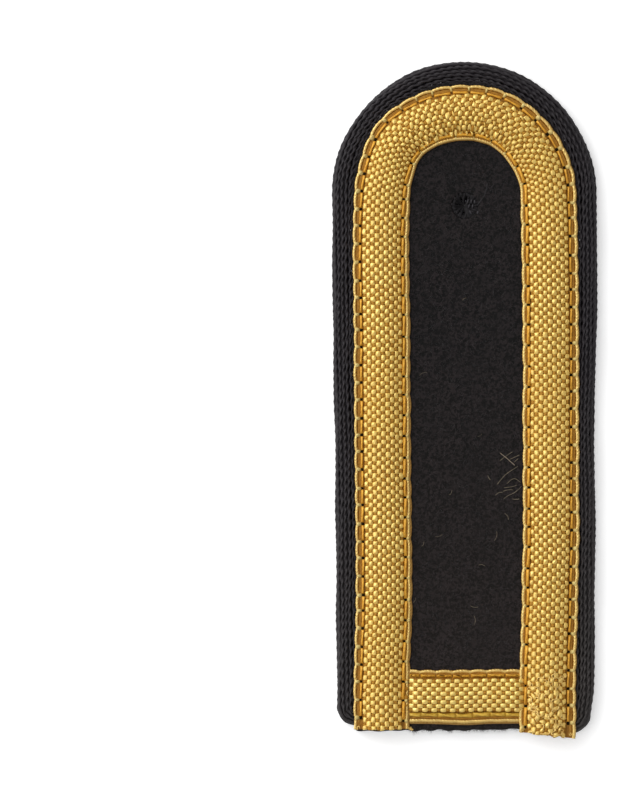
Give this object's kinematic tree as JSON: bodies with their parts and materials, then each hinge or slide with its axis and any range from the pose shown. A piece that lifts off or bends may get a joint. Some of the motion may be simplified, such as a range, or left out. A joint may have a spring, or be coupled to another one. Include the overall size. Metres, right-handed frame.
{
  "type": "shoulder board",
  "caption": "Stiff navy cloth shoulder board with a round button end, a twisted cord edging, an arch of gold lace closed by a lace bar, and a thread-worked button hole.",
  "frame": {"origin": "centre of the underside, on the surface that the board lies on", "axes": "+X across the board, +Y along it towards the round button end, +Z out of the laced face"},
  "size_m": [0.045, 0.114, 0.0039],
  "materials": {
    "wool_cloth": "fulled navy wool, matt",
    "navy_edging": "twisted navy yarns with a low sheen",
    "gold_lace": "woven gold metallic thread",
    "eyelet_thread": "navy sewing thread, wound close"
  },
  "bodies": {
    "root": {"board": "wool_cloth", "edge_cord": "navy_edging", "lace_arch": "gold_lace", "lace_bar": "gold_lace", "eyelet": "eyelet_thread"}
  },
  "joints": []
}
